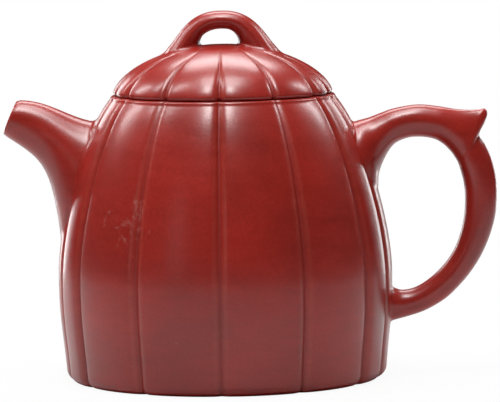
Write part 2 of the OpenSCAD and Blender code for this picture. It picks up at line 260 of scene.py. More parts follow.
square = [[0, 0, 0.1, 0], [1, 0, 0.1, 0], [1, 1, 0.1, 0], [0, 1, 0.1, 0]]
print("a square wiped on all corners has", len(wiped(square)), "points")

# %% [markdown]
# ## The plain shell of the body
#
# The wall is one closed section: up the outside from the foot to the lip, across the flat edge
# under the lid, and down the smooth inside to the ledge where the base is let in. It starts
# without ribs.

# %% Turn the body
lip_turn = np.linspace(0, math.pi / 2, 6)[1:]
body_lip = [
    [rim_r - lip_round + lip_round * math.cos(a), shoulder_z + lip_round * math.sin(a), 1] for a in lip_turn
]
inner_z = np.linspace(seam_z - mouth_ring_h - 1.5 * MM, base_t + 2 * foot_round, 34)
inner_wall = [[body_radius(z) - wall_t, z, 0] for z in inner_z]
wall_end = inner_wall[-1]
inner_foot = [[p[0], p[1], 0] for p in cubic(
    wall_end[:2], [wall_end[0] - 0.3 * MM, base_t + 1.2 * MM],
    [base_r + 3 * MM, base_t], [base_r, base_t], np.linspace(0, 1, 9)[1:],
)]
body_section = (
    [[r, z, 1] for r, z in body_line] + body_lip
    + [[seat_r + 1.2 * MM, seam_z, 0], [seat_r, seam_z, 0], [seat_r, seam_z - mouth_ring_h, 0]]
    + inner_wall + inner_foot + [[base_r, 0.5 * MM, 0], [base_r + 0.5 * MM, 0, 0]]
)
plain_body = turned("plain_body", body_section)
print("the body's section has", len(body_section), "points")

# %% [markdown]
# ## The plain shell of the lid
#
# The dome is pressed over a mould and is much the same thickness everywhere. Its section goes
# from the vent hole down the outside to the lip, in along the flat edge that rests on the body,
# and back up the inside.

# %% Turn the dome
outer_dome = [[r, z, 1] for r, z in dome_line if r > vent_r + 0.5 * MM]
dome_lip = [
    [lid_r - lid_lip + lid_lip * math.cos(a), seam_z + lid_lip - lid_lip * math.sin(a), 1] for a in lip_turn
]
slopes = np.gradient(dome_line, axis=0)
normals = np.c_[-slopes[:, 1], slopes[:, 0]]
inner_line = dome_line + dome_t * normals / np.linalg.norm(normals, axis=1)[:, None]
inner_dome = [
    [r, z, 0] for r, z in inner_line if z > seam_z + plate_t and vent_r + 0.8 * MM < r < plate_r
]
inner_top = apex_z - dome_t
vent_rim = vent_r + 0.45 * MM
vent = [
    [vent_r + 0.4 * MM, inner_top, 0], [vent_r, inner_top + 0.4 * MM, 0], [vent_r, apex_z - 0.45 * MM, 0],
    [vent_r + 0.15 * MM, apex_z - 0.12 * MM, 0], [vent_rim, dome_height(vent_rim) - 0.01 * MM, 0.6],
]
dome_section = vent + outer_dome[::-1] + dome_lip
dome_section += [[plate_r, seam_z, 0], [plate_r, seam_z + plate_t, 0]] + inner_dome
plain_dome = turned("plain_dome", dome_section)
print("the dome's section has", len(dome_section), "points")

# %% [markdown]
# ## Building blocks for node trees
#
# Both the ribs and the materials are node trees. These helpers add a node and wire it in one
# line: a value that is a socket is linked, and a plain number is typed into the socket.

# %% Helpers for node trees
def wire(tree, value, socket):
    if isinstance(value, bpy.types.NodeSocket):
        tree.links.new(value, socket)
    elif value is not None:
        socket.default_value = value


def add(tree, kind, sockets=None, **settings):
    made = tree.nodes.new(kind)
    for key, value in settings.items():
        setattr(made, key, value)
    for key, value in (sockets or {}).items():
        wire(tree, value, made.inputs[key])
    return made


def sums(tree, operation, *values):
    return add(tree, "ShaderNodeMath", dict(enumerate(values)), operation=operation).outputs[0]


def new_tree(name, kind, inputs, outputs):
    tree = bpy.data.node_groups.new(name, kind)
    for side, items in (("INPUT", inputs), ("OUTPUT", outputs)):
        for label, socket, value in items:
            made = tree.interface.new_socket(name=label, in_out=side, socket_type=socket)
            if value is not None:
                made.default_value = value
    return tree, add(tree, "NodeGroupInput").outputs, add(tree, "NodeGroupOutput").inputs


def ranged(tree, value, low, high, to_low=0.0, to_high=1.0, kind="LINEAR"):
    """A value stretched from one range to another and held inside it."""
    return add(tree, "ShaderNodeMapRange", {
        "Value": value, "From Min": low, "From Max": high, "To Min": to_low, "To Max": to_high,
    }, interpolation_type=kind).outputs[0]


def noise(tree, vector, scale, detail, roughness=0.5, distortion=0.0):
    return add(tree, "ShaderNodeTexNoise", {
        "Vector": vector, "Scale": scale, "Detail": detail, "Roughness": roughness, "Distortion": distortion,
    }).outputs[0]


def finish_shape(tree, shape, material, socket):
    """Make a tree's shape real, dress it in its material and hand it on."""
    real = add(tree, "GeometryNodeRealizeInstances", {0: shape})
    dressed = add(tree, "GeometryNodeSetMaterial", {"Geometry": real.outputs[0], "Material": material})
    wire(tree, dressed.outputs[0], socket)


FLOAT, SHAPE, PLACE = "NodeSocketFloat", "NodeSocketGeometry", "NodeSocketVector"
CLAY = "NodeSocketMaterial"
print("helpers ready")

# %% [markdown]
# ## The ribs
#
# The ribs follow one rule all the way round: between two grooves the wall bows out a little, and
# on both sides of each groove it rolls down into it. So they are made by Geometry Nodes. The tree
# finds how far a point lies from its nearest groove, and moves it towards the axis by a share of
# its radius. That share is the same at every height, so the ribs run together at the top of the
# lid. It also stores the groove as an attribute, for the finish to read.

# %% Build the tree that presses the ribs
def build_ribs():
    tree, given, result = new_tree("press_ribs", "GeometryNodeTree", [
        ("Geometry", SHAPE, None), ("Groove 1", FLOAT, GROOVES[1]), ("Groove 2", FLOAT, GROOVES[2]),
        ("Groove 3", FLOAT, GROOVES[3]), ("Groove Share", FLOAT, 0.03), ("Crown Share", FLOAT, crown_share),
        ("Crown Curve", FLOAT, crown_curve), ("Shoulder Width", FLOAT, shoulder_width),
        ("Softness", FLOAT, softness), ("Clay", CLAY, None),
    ], [("Geometry", SHAPE, None)])
    calc = partial(sums, tree)
    place = add(tree, "GeometryNodeInputPosition").outputs[0]
    x, y, z = add(tree, "ShaderNodeSeparateXYZ", {0: place}).outputs
    turn = calc("DEGREES", calc("ABSOLUTE", calc("ARCTAN2", x, calc("MULTIPLY", y, -1.0))))
    turn = calc("MINIMUM", turn, calc("SUBTRACT", 180.0, turn))

    marks = [given["Groove %d" % i] for i in (1, 2, 3)]
    low, high = 0.0, marks[0]
    for mark, after in zip(marks, marks[1:] + [calc("SUBTRACT", 180.0, marks[-1])]):
        past = calc("GREATER_THAN", turn, mark)
        low = calc("MAXIMUM", low, calc("MULTIPLY", past, mark))
        high = calc("MAXIMUM", high, calc("MULTIPLY", past, after))

    behind, ahead = calc("SUBTRACT", turn, low), calc("SUBTRACT", high, turn)
    share = calc("DIVIDE", behind, calc("SUBTRACT", high, low))
    bow = calc("ABSOLUTE", calc("MULTIPLY_ADD", share, 2.0, -1.0))
    crown = calc("MULTIPLY", calc("POWER", bow, given["Crown Curve"]), given["Crown Share"])
    off = calc("MINIMUM", behind, ahead)
    off = calc("SQRT", calc("MULTIPLY_ADD", off, off, calc("POWER", given["Softness"], 2.0)))
    roll = calc("MAXIMUM", calc("SUBTRACT", 1.0, calc("DIVIDE", off, given["Shoulder Width"])), 0.0)
    groove = calc("MULTIPLY", calc("MULTIPLY", roll, roll), calc("SUBTRACT", 1.0, given["Crown Share"]))

    ribbed = add(tree, "GeometryNodeInputNamedAttribute", {"Name": "ribbed"}, data_type="FLOAT")
    ribbed = ribbed.outputs["Attribute"]
    cut = calc("MULTIPLY", calc("MULTIPLY", calc("ADD", crown, groove), given["Groove Share"]), ribbed)
    left = calc("SUBTRACT", 1.0, cut)
    near_x, near_y = calc("MULTIPLY", x, left), calc("MULTIPLY", y, left)
    moved = add(tree, "ShaderNodeCombineXYZ", {0: near_x, 1: near_y, 2: z}).outputs[0]
    shaped = add(tree, "GeometryNodeSetPosition", {"Geometry": given["Geometry"], "Position": moved})
    stored = add(tree, "GeometryNodeStoreNamedAttribute", {
        "Geometry": shaped.outputs[0], "Name": "groove", "Value": calc("MULTIPLY", roll, ribbed),
    }, data_type="FLOAT", domain="POINT")
    finish_shape(tree, stored.outputs[0], given["Clay"], result[0])
    return tree


rib_tree = build_ribs()
print("the rib tree has", len(rib_tree.nodes), "nodes")

# %% [markdown]
# ## From a tree to a plain mesh
#
# A tree sits on a piece as a modifier. This helper sets its inputs, lets Blender work the shape
# out, and keeps the result as a plain mesh under the piece's own name.

# %% Apply a tree to a piece
def grown(source, name, tree, values):
    modifier = source.modifiers.new(tree.name, "NODES")
    modifier.node_group = tree
    for item in tree.interface.items_tree:
        if item.item_type == "SOCKET" and item.in_out == "INPUT" and item.name in values:
            modifier[item.identifier] = values[item.name]
    depsgraph = bpy.context.evaluated_depsgraph_get()
    mesh = bpy.data.meshes.new_from_object(source.evaluated_get(depsgraph))
    mesh.name = name
    made = bpy.data.objects.new(name, mesh)
    bpy.context.scene.collection.objects.link(made)
    bpy.data.objects.remove(source)
    return made


print("trees can be applied")

# %% [markdown]
# ## The clay's grain
#
# This clay holds fine sand. Burnished, it shows a quiet grain: pale and dark grains under a
# millimetre, and a slight unevenness that the hand feels more than the eye sees. The grain is a
# node group, so that every clay finish on the pot shares it with values of its own.

# %% Build the grain
def build_grain():
    tree, given, result = new_tree("clay_grain", "ShaderNodeTree",
        [("Vector", PLACE, None), ("Grain Size", FLOAT, 0.0006), ("Speck Size", FLOAT, 0.0009)],
        [("Grain", FLOAT, None), ("Specks", FLOAT, None), ("Height", FLOAT, None)])
    grain_scale = sums(tree, "DIVIDE", 1.0, given["Grain Size"])
    speck_scale = sums(tree, "DIVIDE", 1.0, given["Speck Size"])
    grain = noise(tree, given["Vector"], grain_scale, 2.0, 0.6)
    cells = add(tree, "ShaderNodeTexVoronoi", {"Vector": given["Vector"], "Scale": speck_scale})
    sand = ranged(tree, cells.outputs["Distance"], 0.12, 0.3, 1.0, 0.0)
    chosen = add(tree, "ShaderNodeSeparateColor", {0: cells.outputs["Color"]})
    rare = sums(tree, "GREATER_THAN", chosen.outputs[0], 0.72)
    specks = sums(tree, "MULTIPLY", sand, rare)
    height = sums(tree, "MULTIPLY_ADD", specks, 0.08, grain)
    for socket, value in enumerate((grain, specks, height)):
        wire(tree, value, result[socket])
    return tree


grain_group = build_grain()
print("grain group ready")

# %% [markdown]
# ## Tone, grooves and scuffs
#
# Three more effects tell clay from plastic. The kiln leaves soft drifts of tone, warmer here and
# browner there. The grooves are less burnished, and painted shade darkens them, while the shoulders
# beside them carry a painted pale sheen that partly stands for rubbing. And a pot that is handled
# has a few faint pale scuffs.

# %% Build the drift, groove and scuff groups
def build_drift():
    tree, given, result = new_tree("kiln_drift", "ShaderNodeTree",
        [("Vector", PLACE, None), ("Drift Size", FLOAT, 0.03), ("Streak Size", FLOAT, 0.004)],
        [("Drift", FLOAT, None), ("Streaks", FLOAT, None)])
    drift = noise(tree, given["Vector"], sums(tree, "DIVIDE", 1.0, given["Drift Size"]), 3.0)
    flat = add(tree, "ShaderNodeMapping", {"Vector": given["Vector"], "Scale": (0.35, 0.35, 1.4)})
    streak_scale = sums(tree, "DIVIDE", 1.0, given["Streak Size"])
    wire(tree, ranged(tree, drift, 0.32, 0.68), result[0])
    wire(tree, noise(tree, flat.outputs[0], streak_scale, 3.0, distortion=0.4), result[1])
    return tree


def build_groove_shade_and_wear():
    tree, given, result = new_tree("groove_shade_and_wear", "ShaderNodeTree",
        [("Groove", FLOAT, 0.0), ("Patches", FLOAT, 0.5)],
        [("Hollow", FLOAT, None), ("Shoulder", FLOAT, None)])
    # The band on the shoulders beside each groove, where the finish paints a pale sheen that partly stands
    # for rubbing.
    rising = ranged(tree, given["Groove"], 0.1, 0.45, kind="SMOOTHSTEP")
    falling = ranged(tree, given["Groove"], 0.85, 0.5, kind="SMOOTHSTEP")
    rubbed_sheen = sums(tree, "MULTIPLY", rising, falling)
    # Hollow: the bottom of each groove, where the finish paints shade.
    wire(tree, ranged(tree, given["Groove"], 0.72, 0.97, kind="SMOOTHSTEP"), result[0])
    wire(tree, sums(tree, "MULTIPLY", rubbed_sheen, ranged(tree, given["Patches"], 0.35, 0.65, 0.5)), result[1])
    return tree


def build_scuffs():
    tree, given, result = new_tree("pale_scuffs", "ShaderNodeTree",
        [
            ("Vector", PLACE, None), ("Centre", PLACE, None),
            ("Reach", FLOAT, 0.012), ("Everywhere", FLOAT, 0.05),
        ],
        [("Scuffs", FLOAT, None)])
    apart = add(tree, "ShaderNodeVectorMath", {0: given["Vector"], 1: given["Centre"]}, operation="DISTANCE")
    near = sums(tree, "SUBTRACT", 1.0, sums(tree, "DIVIDE", apart.outputs["Value"], given["Reach"]))
    near = add(tree, "ShaderNodeClamp", {0: near}).outputs[0]
    wide = noise(tree, given["Vector"], 260.0, 5.0, 0.65, 1.2)
    fine = noise(tree, given["Vector"], 900.0, 3.0, 0.6)
    patch = sums(tree, "MULTIPLY_ADD", near, 0.22, given["Everywhere"])
    mask = ranged(tree, sums(tree, "ADD", wide, patch), 0.66, 0.8)
    wire(tree, sums(tree, "MULTIPLY", mask, ranged(tree, fine, 0.4, 0.62)), result[0])
    return tree


drift_group, groove_group, scuff_group = build_drift(), build_groove_shade_and_wear(), build_scuffs()
print("drift, groove and scuff groups ready")

# %% [markdown]
# ## The clay finishes
#
# All three finishes are the same clay. Outside it is burnished to a soft satin; inside it is only
# smoothed; under the base it is matt and a little scuffed. One function builds them from the
# shared groups, and each finish has its own tones, roughness and depth of grain.

# %% Build the three finishes
# The second tone is a painted pale sheen for the groove shoulders, partly standing for rubbing.
SPECK_TONE, RUBBED_SHEEN_TONE, SCUFF_TONE = (0.42, 0.14, 0.09, 1), (0.45, 0.11, 0.075, 1), (0.55, 0.3, 0.27, 1)
SCUFF_CENTRE = (-0.028, -0.0387, 0.051)


def clay_finish(name, warm, brown, hollow_shade_tone, roughness, bump, coat, scuffs):
    material = bpy.data.materials.new(name)
    material.use_nodes = True
    tree = material.node_tree
    shader = tree.nodes["Principled BSDF"]
    place = add(tree, "ShaderNodeTexCoord").outputs["Object"]
    grain = add(tree, "ShaderNodeGroup", node_tree=grain_group)
    drift = add(tree, "ShaderNodeGroup", node_tree=drift_group)
    shade_and_wear = add(tree, "ShaderNodeGroup", node_tree=groove_group)
    scuff = add(tree, "ShaderNodeGroup", node_tree=scuff_group)
    for group in (grain, drift, scuff):
        wire(tree, place, group.inputs["Vector"])
    scuff.inputs["Centre"].default_value = SCUFF_CENTRE
    scuff.inputs["Everywhere"].default_value = scuffs
    groove = add(tree, "ShaderNodeAttribute", attribute_name="groove", attribute_type="GEOMETRY")
    wire(tree, groove.outputs["Fac"], shade_and_wear.inputs["Groove"])
    wire(tree, drift.outputs["Streaks"], shade_and_wear.inputs["Patches"])

    def mix(factor, first, second, blend="MIX"):
        node = add(tree, "ShaderNodeMix", data_type="RGBA", blend_type=blend)
        wire(tree, factor, node.inputs[0])
        wire(tree, first, node.inputs[6])
        wire(tree, second, node.inputs[7])
        return node.outputs[2]

    tone = mix(drift.outputs["Drift"], brown, warm)
    tone = mix(1.0, tone, ranged(tree, grain.outputs["Grain"], 0.3, 0.7, 0.86, 1.12), "MULTIPLY")
    tone = mix(1.0, tone, ranged(tree, drift.outputs["Streaks"], 0.3, 0.7, 0.93, 1.06), "MULTIPLY")
    for mask, strength, color in (
        # The groove shoulders take a painted pale sheen, partly for rubbing.
        (grain.outputs["Specks"], 0.12, SPECK_TONE), (shade_and_wear.outputs["Shoulder"], 0.16, RUBBED_SHEEN_TONE),
        # The grooves take painted shade in the groove tone.
        (shade_and_wear.outputs["Hollow"], 0.2, hollow_shade_tone), (scuff.outputs["Scuffs"], 0.32, SCUFF_TONE),
    ):
        tone = mix(sums(tree, "MULTIPLY", mask, strength), tone, color)
    wire(tree, tone, shader.inputs["Base Color"])

    rough = roughness - 0.09
    for mask, gain in (
        (grain.outputs["Grain"], 0.1), (drift.outputs["Streaks"], 0.08),
        (shade_and_wear.outputs["Hollow"], 0.15), (scuff.outputs["Scuffs"], 0.12),
    ):
        rough = sums(tree, "MULTIPLY_ADD", mask, gain, rough)
    wire(tree, rough, shader.inputs["Roughness"])
    relief = add(tree, "ShaderNodeBump", {
        "Height": grain.outputs["Height"], "Strength": 1.0, "Distance": bump,
    })
    wire(tree, relief.outputs[0], shader.inputs["Normal"])
    shader.inputs["Coat Weight"].default_value = coat
    shader.inputs["Coat Roughness"].default_value = 0.22
    return material


# In each finish the groove tone is painted shade for the grooves.
burnished = clay_finish(
    "burnished_clay",
    warm=(0.37, 0.02, 0.013, 1), brown=(0.26, 0.017, 0.012, 1), hollow_shade_tone=(0.07, 0.006, 0.005, 1),
    roughness=0.32, bump=0.02 * MM, coat=0.25, scuffs=0.0,
)
smoothed = clay_finish(
    "smoothed_clay",
    warm=(0.31, 0.045, 0.03, 1), brown=(0.23, 0.035, 0.026, 1), hollow_shade_tone=(0.08, 0.012, 0.01, 1),
    roughness=0.6, bump=0.05 * MM, coat=0.0, scuffs=0.0,
)
matt = clay_finish(
    "matt_clay",
    warm=(0.33, 0.055, 0.036, 1), brown=(0.25, 0.04, 0.03, 1), hollow_shade_tone=(0.09, 0.014, 0.01, 1),
    roughness=0.72, bump=0.07 * MM, coat=0.0, scuffs=0.03,
)
print("three finishes of one clay")

# %% [markdown]
# ## Press the ribs into the body and the lid
#
# The same tree works on both shells, with the same grooves, so that the lid's meet the body's
# across the seam. Only their depth is each shell's own.

# %% Rib the two shells
rib_sizes = {
    "Groove 1": GROOVES[1], "Groove 2": GROOVES[2], "Groove 3": GROOVES[3],
    "Crown Share": crown_share, "Crown Curve": crown_curve,
    "Shoulder Width": shoulder_width, "Softness": softness, "Clay": burnished,
}
body_shell = grown(plain_body, "ribbed_body", rib_tree, {"Groove Share": body_groove_share, **rib_sizes})
dome = grown(plain_dome, "ribbed_dome", rib_tree, {"Groove Share": lid_groove_share, **rib_sizes})
for shell in (body_shell, dome):
    print(shell.name, "has", len(shell.data.vertices), "points")


def rib_share(azimuth, groove_share):
    """The share of the crown's radius that is left at an azimuth, as the tree presses it."""
    turn = abs(math.degrees(azimuth))
    turn = min(turn, 180 - turn)
    marks = list(GROOVES) + [180 - GROOVES[-1]]
    i = sum(turn > g for g in GROOVES[1:])
    low, high = marks[i], marks[i + 1]
    bow = abs(2 * (turn - low) / (high - low) - 1)
    off = math.hypot(min(turn - low, high - turn), softness)
    roll = max(1 - off / shoulder_width, 0)
    return 1 - groove_share * (crown_share * bow ** crown_curve + (1 - crown_share) * roll ** 2)


def above_body(p):
    """How far a point stands off the ribbed wall, measured level."""
    return math.hypot(p[0], p[1]) - body_radius(p[2]) * rib_share(math.atan2(p[0], -p[1]), body_groove_share)


def above_dome(p):
    """How far a point stands above the ribbed dome."""
    return p[2] - dome_height(math.hypot(p[0], p[1]) / rib_share(math.atan2(p[0], -p[1]), lid_groove_share))

# %% [markdown]
# ## Luting
#
# Spout, handle and knob are rolled and bent first, and then luted on: the potter scores both
# faces, wets them with slip, presses the piece home and works the seam with a bamboo tool until
# the clay flows from one into the other. Here a shape is a function that gives any point by its
# place along the piece and round it. For each side the helper finds where it meets the shell,
# steps back a little, and draws a small cove from there onto the shell.

# %% Lute a swept shape to a shell
def crossing(measure, free, sunk, level=0.0):
    """The place between free and sunk at which the measure falls to the level."""
    for _ in range(26):
        middle = (free + sunk) / 2
        if measure(middle) > level:
            free = middle
        else:
            sunk = middle
    return (free + sunk) / 2


def slope_of(above, p, step=0.05 * MM):
    """How fast the measure grows along each axis."""
    return np.array([above(p + step * e) - above(p - step * e) for e in np.eye(3)]) / (2 * step)


def settle(above, p):
    """The nearest point to p at which the measure is nought."""
    for _ in range(3):
        slope = slope_of(above, p)
        p = p - slope * above(p) / slope.dot(slope)
    return p


def rooted(shape, sides, free, sunk, above, cove, rows=7):
    """Where each side stops, and the rings of the cove that goes on from there."""
    ends = [crossing(lambda t: above(shape(t, k)), free, sunk) for k in range(sides)]
    corners = np.array([shape(t, k) for k, t in enumerate(ends)])
    middle = corners.mean(0)
    stops, rings = [], [[] for _ in range(rows + 1)]
    for k in range(sides):
        corner = corners[k]
        normal = unit(slope_of(above, corner))
        along = corners[(k + 1) % sides] - corners[k - 1]
        out = unit(np.cross(normal, along))
        if out.dot(corner - middle) < 0:
            out = -out
        back = crossing(lambda t: np.linalg.norm(shape(t, k) - corner), free, ends[k], cove)
        start = shape(back, k)
        land = settle(above, corner + out * cove)
        stops.append(back)
        pull_in, pull_out = start + (corner - start) * 0.6, land + (corner - land) * 0.6
        for i, p in enumerate(cubic(start, pull_in, pull_out, land, np.linspace(0, 1, rows + 1)[1:])):
            rings[i].append(p)
        rings[rows].append(land + out * 0.3 * MM - normal * 0.12 * MM)
    return stops, [np.array(r) for r in rings]


def swept(name, rings, close_rows=False):
    """A surface through rings of points, with its ends closed by a point in the middle."""
    sides = len(rings[0])
    vertices = [p for ring in rings for p in ring]
    faces = quads(len(rings), sides, closed_rows=close_rows)
    for end in (0, len(rings) - 1):
        if not close_rows:
            vertices.append(np.mean(rings[end], axis=0))
            centre = len(vertices) - 1
            start = end * sides
            for k in range(sides):
                edge = (start + k, start + (k + 1) % sides)
                faces.append((centre,) + (edge if end else edge[::-1]))
    return piece(name, vertices, faces)


print("ready to lute")

# %% [markdown]
# ## The spout
#
# The spout is short and strong: wide where it leaves the wall, bent upwards, and cut straight
# across at its mouth. Two curves in the pot's middle plane, one for its top and one for its
# underside, carry round sections between them. The passage inside is the same shape made
# narrower.

# %% Shape the spout
spout_tip = np.array([-64.0, 79.1]) * MM
tilt, rise = math.radians(23), math.radians(34)
spout_way = np.array([-math.cos(tilt), math.sin(tilt)])
low_way = np.array([-math.cos(rise), math.sin(rise)])
tip_up = np.array([math.sin(tilt), math.cos(tilt)])
tip_r, bore_r, root_half, spout_wall = 5.5 * MM, 3.9 * MM, 11.8 * MM, 2.8 * MM
root_top_z, root_low_z = 77.4 * MM, 42.2 * MM
root_high = np.array([-body_radius(root_top_z), root_top_z])
root_deep = np.array([-body_radius(root_low_z), root_low_z])
spout_len = np.linalg.norm(spout_tip - (root_high + root_deep) / 2)
SPOUT_SIDES = 96


def spout_point(t, k, inset=0.0):
    """t runs from the mouth at 0 to the wall at 1 and on into it, k counts the sides."""
    u = min(1.0, 1.0 - t)
    inside = inset * (spout_wall + (tip_r - bore_r - spout_wall) * max(u, 0))
    v = max(u, 0.0)
    roof = root_high - [0, inside]
    roof_tip = spout_tip + tip_up * (tip_r - inside)
    high = cubic(roof, roof + spout_len * np.array([-0.3, 0.045]),
                 roof_tip + spout_len * np.array([0.34, 0.01]), roof_tip, np.array(v))
    foot = root_deep + inside * np.array([1, 0.6])
    foot_tip = spout_tip - tip_up * (tip_r - inside)
    low = cubic(foot, foot + spout_len * np.array([-0.1, 0.85]),
                foot_tip - spout_len * 0.5 * low_way, foot_tip, np.array(v))
    half_w = tip_r + (root_half - tip_r) * (1 - v) ** 1.8 - inside
    middle = (high + low) / 2 + np.array([max(0, t - 1) * spout_len, 0])
    a = 2 * math.pi * k / SPOUT_SIDES
    flat = middle + (high - low) / 2 * math.cos(a)
    return np.array([flat[0], half_w * math.sin(a), flat[1]])


def spout_passage(t, k):
    return spout_point(t, k, 1.0)


def spout_surface(shape, stops, rows):
    """Rings from the mouth to the place where each side stops."""
    return [np.array([shape(stop * i / rows, k) for k, stop in enumerate(stops)]) for i in range(rows + 1)]


outer_stops, outer_cove = rooted(
    spout_point, SPOUT_SIDES, free=0.55, sunk=1.45, above=above_body, cove=1.8 * MM,
)
outer_rings = spout_surface(spout_point, outer_stops, 56)
inner_stops = [
    crossing(lambda t: above_body(spout_passage(t, k)), 0.5, 1.5, -0.3 * MM) for k in range(SPOUT_SIDES)
]
inner_rings = spout_surface(spout_passage, inner_stops, 40)
root_heights = [r[2] / MM for r in outer_cove[-1]]
print("spout root from", round(min(root_heights), 1), "to", round(max(root_heights), 1), "mm high")

# %% [markdown]
# The mouth of the spout is cut with a wire and its edge is softened: a rounded lip joins the
# outside to the passage.

# %% Round the spout's lip and join its surfaces
lip_rise, lip_clear = 0.55 * MM, 0.7 * MM


def lip_between(outer, inner, way, steps=8):
    """Rings that carry the outer end over a rounded lip to the inner end."""
    rings = []
    for a in np.linspace(0, math.pi, steps + 1):
        share = (1 - math.cos(a)) / 2
        rings.append(outer + (inner - outer) * share + way * lip_rise * (math.sin(a) - 1))
    return rings


way_3d = np.array([spout_way[0], 0, spout_way[1]])
mouth, passage = outer_rings[0], inner_rings[0]
lip = lip_between(mouth, passage, way_3d)
outer_rings = [mouth - way_3d * lip_rise] + [
    r for r in outer_rings[1:] if (r[:, 0] > mouth[:, 0] + lip_clear).all()
]
inner_rings[0] = passage - way_3d * lip_rise
spout_rings = list(reversed(outer_cove)) + list(reversed(outer_rings)) + lip[1:-1] + inner_rings
spout = swept("luted_spout", spout_rings, close_rows=True)
spout.data.materials.append(burnished)
print("the spout has", len(spout.data.vertices), "points")

# %% [markdown]
# ## The handle
#
# The handle is a roll of clay, a little thicker above than below, bent to an ear. It is drawn
# like the spout, by two lines in the pot's middle plane: the outer line climbs from the shoulder,
# runs out along the arm, turns round the thumb rest and comes down the back of the ear, and the
# inner line goes round the finger opening. Stations pair a point on one line with a point on the
# other, and each pair carries an oval section with its own half width. Where the thumb rest
# stands out, the roll keeps its thickness and only its outer side is drawn out to a ridge.

# %% Shape the handle
STATIONS = [  # outer x, outer z, inner x, inner z, half width, in mm
    [36.0, 75.0, 45.6, 53.5, 10.0], [39.6, 76.6, 46.2, 57.4, 9.0], [43.6, 77.7, 46.5, 61.0, 7.2],
    [47.1, 79.0, 48.1, 65.2, 5.9], [50.6, 80.2, 51.0, 69.5, 5.0], [55.2, 81.1, 55.0, 71.4, 4.6],
    [59.3, 81.4, 59.2, 71.7, 4.5], [64.5, 80.8, 63.1, 71.0, 4.5], [69.7, 79.9, 65.6, 69.6, 4.5],
    [73.7, 79.6, 67.3, 68.0, 4.5], [76.6, 79.7, 68.5, 66.6, 4.4], [78.4, 79.9, 69.2, 65.5, 4.3],
    [79.1, 78.4, 69.7, 64.7, 4.3], [78.3, 75.9, 70.1, 63.9, 4.3], [76.9, 73.3, 70.5, 62.9, 4.4],
    [76.7, 71.7, 70.8, 61.8, 4.4], [78.3, 69.2, 71.2, 60.4, 4.5], [80.1, 65.2, 71.7, 58.4, 4.5],
    [81.4, 59.8, 72.1, 55.2, 4.5], [81.7, 53.9, 72.1, 51.0, 4.5], [81.2, 48.1, 71.6, 46.5, 4.5],
    [79.6, 42.2, 70.5, 42.2, 4.5], [77.2, 36.6, 68.9, 38.1, 4.4], [74.2, 31.7, 66.4, 34.2, 4.3],
    [70.6, 27.3, 63.4, 30.9, 4.3], [65.9, 22.9, 59.9, 28.1, 4.2], [60.0, 19.5, 56.5, 26.3, 4.2],
    [54.6, 17.7, 53.2, 25.7, 4.3], [50.8, 16.7, 50.8, 26.3, 4.8], [46.5, 15.2, 46.8, 28.2, 6.5],
]
stations = np.array(STATIONS) * MM
HANDLE_SIDES = 72
roll_half = 5.0 * MM
pairs = {}


def handle_point(t, k):
    """t counts the stations, from inside the shoulder to inside the wall near the foot."""
    key = round(t, 7)
    if key not in pairs:
        pairs[key] = through(stations, t)
    outer, inner, half_w = pairs[key][:2], pairs[key][2:4], pairs[key][4]
    a = 2 * math.pi * k / HANDLE_SIDES
    c, s = math.cos(a), math.sin(a)
    reach = np.linalg.norm(outer - inner)
    half = min(reach / 2, roll_half) if 7 < t < 19 else reach / 2
    extra = (reach - 2 * half) * max(c, 0) ** 2
    p = inner + (outer - inner) / reach * (half + (half + extra) * c)
    return np.array([p[0], half_w * s, p[1]])


last = len(stations) - 1.0001
up_stops, up_cove = rooted(
    handle_point, HANDLE_SIDES, free=4, sunk=0, above=above_body, cove=1.0 * MM,
)
down_stops, down_cove = rooted(
    handle_point, HANDLE_SIDES, free=last - 3, sunk=last, above=above_body, cove=0.7 * MM,
)
handle_rings = [
    np.array([handle_point(a + (b - a) * s, k) for k, (a, b) in enumerate(zip(up_stops, down_stops))])
    for s in np.linspace(0, 1, 181)
]
handle = swept("luted_handle", list(reversed(up_cove)) + handle_rings + down_cove)
handle.data.materials.append(burnished)
print("the handle has", len(handle.data.vertices), "points")

# %% [markdown]
# ## The knob
#
# The knob is a small bridge: a roll that arches over the vent hole and spreads into two broad
# feet. It is luted to the dome the same way.

# %% Shape the knob
knob_t, knob_w, foot_x = 5.4 * MM, 8 * MM, 13.3 * MM
knob_top = apex_z + 9.95 * MM - knob_t / 2
knob_crown = np.array([0, knob_top])
knob_foot = np.array([foot_x, dome_height(foot_x) - 1.2 * MM])
leg_run = np.array([0.256, -0.316]) * foot_x
LEFT_LEG, RIGHT_LEG = (0.4, 4.2 * MM), (0.1, 6.2 * MM)  # where the leg starts to thicken, and by how much
KNOB_SIDES = 72


def bridge(t):
    return cubic(knob_crown, [foot_x * 0.6, knob_top], knob_foot - leg_run, knob_foot, np.array(t))


def knob_point(t, k):
    """t runs from the left foot at -1 to the right foot at 1, and a little past both."""
    side, u = (-1 if t < 0 else 1), abs(t)
    v = min(u, 1)
    p = bridge(v) + max(0, u - 1) * knob_t * unit(leg_run)
    along = unit(bridge(min(1, v + 0.02)) - bridge(max(0, v - 0.02)))
    up = np.array([-along[1], along[0]])
    outer = knob_t / 2 + 0.7 * MM * v
    starts, gain = LEFT_LEG if t < 0 else RIGHT_LEG
    inner = knob_t / 2 + gain * (max(0, v - starts) / (1 - starts)) ** 1.5
    half_w = knob_w / 2 + 2.8 * MM * v * v
    a = 2 * math.pi * k / KNOB_SIDES
    c, s = math.cos(a), math.sin(a)
    flat = p + up * (outer if c > 0 else inner) * c
    return np.array([side * flat[0], half_w * s, flat[1]])


